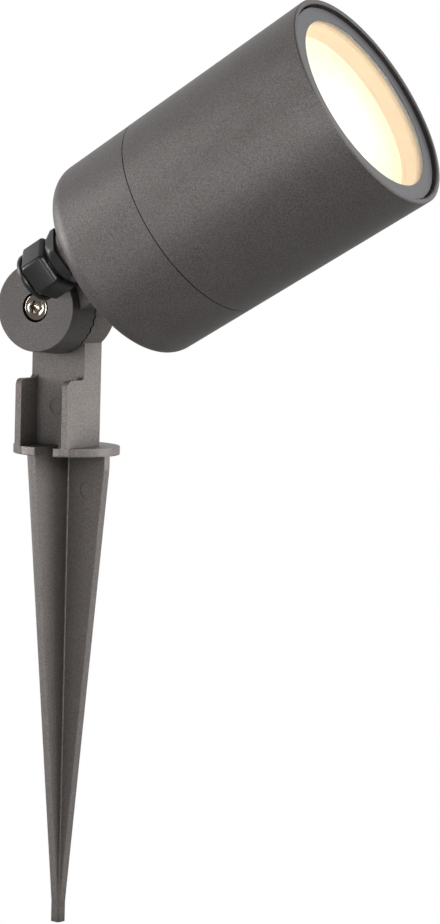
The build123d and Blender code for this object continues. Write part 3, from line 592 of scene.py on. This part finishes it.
shank_rows = np.arange(screw_low + 0.7 * mm, under_head - 0.3 * mm, 0.1 * mm)
shank = thread(shank_rows, columns, outer=2.48 * mm, depth=0.3 * mm, lead=0.8 * mm)
knurl_rows = np.array([under_head + 0.3 * mm, screw_high - 0.9 * mm])
knurl = head_radius - knurl_depth * (np.arange(len(columns)) % 2) * np.ones((2, 1))
edge_turn = np.linspace(0, np.pi / 2, 7)
head_edge = np.column_stack([head_radius + edge_round * (np.cos(edge_turn) - 1),
                             screw_high + edge_round * (np.sin(edge_turn) - 1)])
mouth = [(2.75 * mm, screw_high), (2.5 * mm, screw_high - 0.12 * mm)]
socket_rows = np.array([screw_high - 0.3 * mm, screw_high - 2.6 * mm])
socket = hexagon(socket_to_face, columns) * np.ones((2, 1))
drill_point = [(1.2 * mm, screw_high - 3.0 * mm), (0, screw_high - 3.1 * mm)]
parts = [rings([(0, screw_low), (1.9 * mm, screw_low)], columns), (shank, shank_rows),
         rings([(2.5 * mm, under_head), (4.1 * mm, under_head)], columns), (knurl, knurl_rows),
         rings(head_edge, columns), rings(mouth, columns), (socket, socket_rows),
         rings(drill_point, columns)]
screw = round_surface("socket_head_screw", pivot, side, turned(beam, up, socket_turn), columns, parts, False)
place_piece(screw, "clamp_screw", stainless, "clamp_screw")

# %% [markdown]
# The nut sits in a hexagon pocket on the far side, with a corner towards +X. Real nuts are turned off
# at both ends, so that their corners don't cut the hand. The turned-off cone and the hexagon are two
# radii, and the smaller one of the two at each point is the nut.

# %% Clamp nut
nut_low, nut_high = extent("clamp_nut", side)
clamp_to_face = 8.0 * mm / 2
cone_start = 3.85 * mm
cone_slope = 1.73
cone_length = 0.7 * mm
columns = corner_columns(np.radians(1.0))
ends = [np.linspace(nut_low, nut_low + cone_length, 8), np.linspace(nut_high - cone_length, nut_high, 8)]
rows = np.concatenate(ends)
to_end = np.minimum(rows - nut_low, nut_high - rows)[:, None]
faces = np.minimum(hexagon(clamp_to_face, columns), cone_start + to_end * cone_slope)
screw_way = [(2.9 * mm, nut_high),
             (2.53 * mm, nut_high - 0.4 * mm),
             (2.53 * mm, nut_low + 0.4 * mm),
             (2.9 * mm, nut_low)]
to_corner = np.array([1.0, 0.0, 0.0])
upright = np.array([0.0, 0.0, 1.0])
parts = [(faces, rows), rings(screw_way, columns)]
hex_nut = round_surface("hexagon_nut", pivot, side, (to_corner, upright), columns, parts)
place_piece(hex_nut, "spike", stainless, "clamp_nut")

# %% [markdown]
# ## Lamp
# The sleeve, the lamp and its front are turned shapes, with a plain circle in every row. Spinning an
# outline gives the same, but here the outline's corners are filled up with points first, so that the
# faces along it are even and shade well.

# %% Turned pieces
turned_columns = np.linspace(0, 2 * np.pi, 144, endpoint=False)


def densify(profile, step):
    """Corner points of a profile, filled up with evenly spaced points that are at most a step apart."""
    profile = np.array(profile, dtype=float)
    lengths = np.linalg.norm(np.diff(profile, axis=0), axis=1)
    runs = [np.linspace(start, end, max(int(np.ceil(length / step)), 1), endpoint=False)
            for start, end, length in zip(profile[:-1], profile[1:], lengths)]
    return np.concatenate(runs + [profile[-1:]])


def turned_piece(name, profile, step, ring):
    """A surface of revolution round the head's axis: the profile's radius at every angle."""
    parts = [rings(densify(profile, step), turned_columns)]
    return round_surface(name, head_centre, beam, (up, side), turned_columns, parts, ring)


def from_head_axis(points):
    """Distance from the head's axis: the length of what is left of each point once its part along the
    beam is taken out."""
    away = points - head_centre
    return np.linalg.norm(away - (away @ beam)[:, None] * beam, axis=1)


print("columns of a turned piece:", len(turned_columns))

# %% [markdown]
# Behind the glass a white sleeve leads down to the lamp. Its wall ends in a small step, then a groove
# and a flat ring. The lamp's light is painted on them: the wall peach and the ring, which faces the lamp,
# cream, each with a painted glow. So the ring is the sleeve's second material, picked by how far each
# face is from the axis.

# %% Light sleeve
sleeve_back, sleeve_front = extent("centring_sleeve", beam)
outer_wall = 29.8 * mm
inner_wall = 28.4 * mm
ring_edge = 27.6 * mm
ring_face = 116.1 * mm
ring_back = ring_face - 1.4 * mm
profile = [(outer_wall, sleeve_back),
           (outer_wall, sleeve_front - 0.3 * mm),
           (outer_wall - 0.3 * mm, sleeve_front),
           (28.75 * mm, sleeve_front),
           (28.45 * mm, sleeve_front - 0.3 * mm),
           (inner_wall, ring_face + 0.5 * mm),
           (28.2 * mm, ring_face + 0.2 * mm),
           (27.9 * mm, ring_face + 0.1 * mm),
           (27.75 * mm, ring_face - 0.6 * mm),
           (27.25 * mm, ring_face - 0.6 * mm),
           (27.1 * mm, ring_face),
           (25.4 * mm, ring_face - 0.1 * mm),
           (25.25 * mm, ring_face - 0.45 * mm),
           (25.25 * mm, ring_back),
           (inner_wall, ring_back),
           (inner_wall, sleeve_back)]
sleeve = turned_piece("light_sleeve", profile, step=0.6 * mm, ring=True)
# painted lamplight: faces nearer the axis than the ring's edge get the cream lit finish, the rest the peach
# one
on_ring = from_head_axis(read_all(sleeve.data.polygons, "center")) < ring_edge
sleeve.data.polygons.foreach_set("material_index", on_ring.astype(np.int32))
place_piece(sleeve, "barrel", sleeve_plastic, "centring_sleeve")
sleeve.data.materials.append(lamp_plastic)
print(on_ring.sum(), "of them on the ring")

# %% [markdown]
# The lamp is a 50 mm twist-lock lamp: a narrow base, a bowl that widens to the rim, and a recess in
# front that holds the frosted lens. Only its rim and lens show through the glass.

# %% Lamp
lamp_back = extent("lamp_body", beam)[0]
lamp_face = 115.6 * mm
base_radius = 12.6 * mm
rim_radius = 24.9 * mm
recess = lamp_face - 2.0 * mm
profile = [(0, lamp_back),
           (base_radius, lamp_back),
           (base_radius, lamp_back + 13 * mm),
           (17.8 * mm, lamp_back + 22 * mm),
           (22.3 * mm, lamp_face - 10 * mm),
           (24.0 * mm, lamp_face - 5 * mm),
           (rim_radius, lamp_face - 5 * mm),
           (rim_radius, lamp_face - 0.6 * mm),
           (24.5 * mm, lamp_face),
           (23.75 * mm, lamp_face),
           (23.65 * mm, recess),
           (0, recess)]
lamp = turned_piece("reflector_lamp", profile, step=0.8 * mm, ring=False)
place_piece(lamp, "head", lamp_plastic, "lamp_body")

# %% [markdown]
# The frosted front is slightly crowned. Its height is a power of a cosine of the distance from the
# middle, which is flat in the middle and falls off quickly at the edge. The attribute that the glow
# reads is each point's distance from the axis, as a share of the lens.

# %% Lens
lens_edge = 23.6 * mm
lens_back = lamp_face - 1.95 * mm
crown_foot = lamp_face - 0.2 * mm
crown_height = 0.9 * mm
crown_power = 0.8
share = np.linspace(0, 1, 40)[::-1]
crown = crown_height * np.cos(share * np.pi / 2) ** crown_power
back_and_edge = [(0, lens_back), (lens_edge, lens_back), (lens_edge, lamp_face - 0.35 * mm)]
profile = np.concatenate([back_and_edge, np.column_stack([lens_edge * share, crown_foot + crown])])
lens = turned_piece("frosted_lamp_front", profile, step=1.0 * mm, ring=False)
radius_share = lens.data.attributes.new("radius_share", "FLOAT", "POINT")
radius_share.data.foreach_set("value", from_head_axis(read_all(lens.data.vertices, "co")) / lens_edge)
place_piece(lens, "head", glow, "lamp_lens")

# %% [markdown]
# ## Studio
# The floor is level with the spike's tip and so pale that it vanishes. More light on it would also
# bleach the object, so a Light Path test makes it plain white to the camera and through glass instead.
# Mirrors show the same backdrop, which stands behind the object and gets dim on the near side, as in a
# real studio. To all other light the floor stays a pale floor that takes shadow, and the world gives a
# weak even light. The backdrop's place is fixed, and doesn't follow the camera to another view.

# %% Backdrop for floor and world
to_backdrop = cam_forward.tolist()
near_level = 0.2


def backdrop_level(tree, place, low, high):
    """Brightness of the backdrop: it rises from the near level to 1 as the part of a place along the
    direction to the backdrop goes from low to high."""
    behind = add_node(tree, "VectorMath", {"operation": "DOT_PRODUCT", 1: to_backdrop}, {0: place})
    limits = {"From Min": low, "From Max": high, "To Min": near_level, "To Max": 1.0}
    return add_node(tree, "MapRange", limits, {"Value": behind.outputs["Value"]}).outputs["Result"]


def show_backdrop(tree, shader_kind, level, lit):
    """A shader that is white to the camera and through glass, has the backdrop's level in mirrors, and
    is the lit shader for all other light. Each maximum of two ray tests is 1 where either one is."""
    path = add_node(tree, "LightPath").outputs
    either = {"operation": "MAXIMUM"}
    direct = add_node(tree, "Math", either, {0: path["Is Camera Ray"], 1: path["Is Transmission Ray"]})
    seen = add_node(tree, "Math", either, {0: direct.outputs[0], 1: path["Is Glossy Ray"]})
    strength = add_node(tree, "Math", either, {0: direct.outputs[0], 1: level})
    white = add_node(tree, shader_kind, {"Color": (1, 1, 1, 1)}, {"Strength": strength.outputs[0]})
    return add_node(tree, "MixShader", links={0: seen.outputs[0], 1: lit, 2: white.outputs[0]}).outputs[0]


print("the backdrop stands towards", np.round(to_backdrop, 2))

# %% [markdown]
# The world is a white sphere at infinity, on which a place is a direction. Its light is kept weak, so
# that the soft lamps give the object its form.

# %% World
world = bpy.data.worlds.new("studio")
world.use_nodes = True
bpy.context.scene.world = world
tree = world.node_tree
even_light = tree.nodes["Background"]
even_light.inputs["Color"].default_value = linear("#ffffff")
even_light.inputs["Strength"].default_value = 0.12
direction = add_node(tree, "TexCoord").outputs["Generated"]
level = backdrop_level(tree, direction, low=-0.2, high=0.6)
mixed = show_backdrop(tree, "Background", level, even_light.outputs[0])
tree.links.new(tree.nodes["World Output"].inputs["Surface"], mixed)
print("even light:", even_light.inputs["Strength"].default_value)

# %% [markdown]
# The floor is one square, large enough that its edge lies outside every view near the object. A painted
# board is matt, so it is rough and has no pattern that could be taken for the object's own.

# %% Floor
floor_size = 6.0
corners = np.array([[-1, -1, 0], [1, -1, 0], [1, 1, 0], [-1, 1, 0]]) * floor_size / 2
corners[:, 2] = cad_low.z
floor_mesh = bpy.data.meshes.new("floor")
floor_mesh.from_pydata(corners.tolist(), [], [(0, 1, 2, 3)])
floor = bpy.data.objects.new("floor", floor_mesh)
bpy.context.scene.collection.objects.link(floor)

pale, tree, shader = new_finish("pale_floor", Roughness=0.9)
shader.inputs["Base Color"].default_value = linear("#e8e8e8")
place = add_node(tree, "TexCoord").outputs["Object"]
level = backdrop_level(tree, place, low=0.0, high=1.2)
mixed = show_backdrop(tree, "Emission", level, shader.outputs[0])
tree.links.new(tree.nodes["Material Output"].inputs["Surface"], mixed)
floor_mesh.materials.append(pale)
print("floor at", round(cad_low.z / mm, 1), "mm")

# %% [markdown]
# Six soft lamps stand round the object as in a product studio, and their strengths were fitted to the
# brightness of the faces in the photograph. The strongest two face each other, on the right for the
# right sides of the blades, and on the left. The one in front on the left mirrors in the head and draws
# the bright band along it. A small one stands low and close in front, so that the blades get brighter
# towards the tip. Each place is an azimuth from +X towards +Y, a height angle and a distance from the
# middle of the object. A large lamp gives soft edges to a highlight, and a small one a narrow highlight.

# %% Lamps
def soft_lamp(name, azimuth, rise, size, power, distance=1.3):
    """A square lamp that faces the middle of the object. Its direction has the cosines of azimuth and
    rise for x, the sine of the azimuth and the cosine of the rise for y, and the sine of the rise for z."""
    data = bpy.data.lights.new(name, "AREA")
    data.shape = "SQUARE"
    data.size = size
    data.energy = power
    lamp = bpy.data.objects.new(name, data)
    bpy.context.scene.collection.objects.link(lamp)
    azimuth, rise = np.radians([azimuth, rise])
    away = Vector((np.cos(rise) * np.cos(azimuth), np.cos(rise) * np.sin(azimuth), np.sin(rise)))
    lamp.location = (cad_low + cad_high) / 2 + away * distance
    lamp.rotation_mode = "QUATERNION"
    lamp.rotation_quaternion = away.to_track_quat("Z", "Y")
    print(name, "lamp:", power, "W at", np.round(lamp.location, 2))


soft_lamp("right", azimuth=32, rise=17, size=0.9, power=14)
soft_lamp("right_front", azimuth=8, rise=12, size=0.5, power=2)
soft_lamp("left_front", azimuth=-98, rise=2, size=0.34, power=4.2)
soft_lamp("left", azimuth=-160, rise=9, size=0.65, power=12)
soft_lamp("above_front", azimuth=-39, rise=24, size=0.3, power=6)
soft_lamp("low_front", azimuth=-88, rise=-8, size=0.15, power=0.6, distance=0.55)

# %% [markdown]
# At the end, the Standard view shows colours as they are written.

# %% Finish
bpy.context.scene.view_settings.view_transform = "Standard"
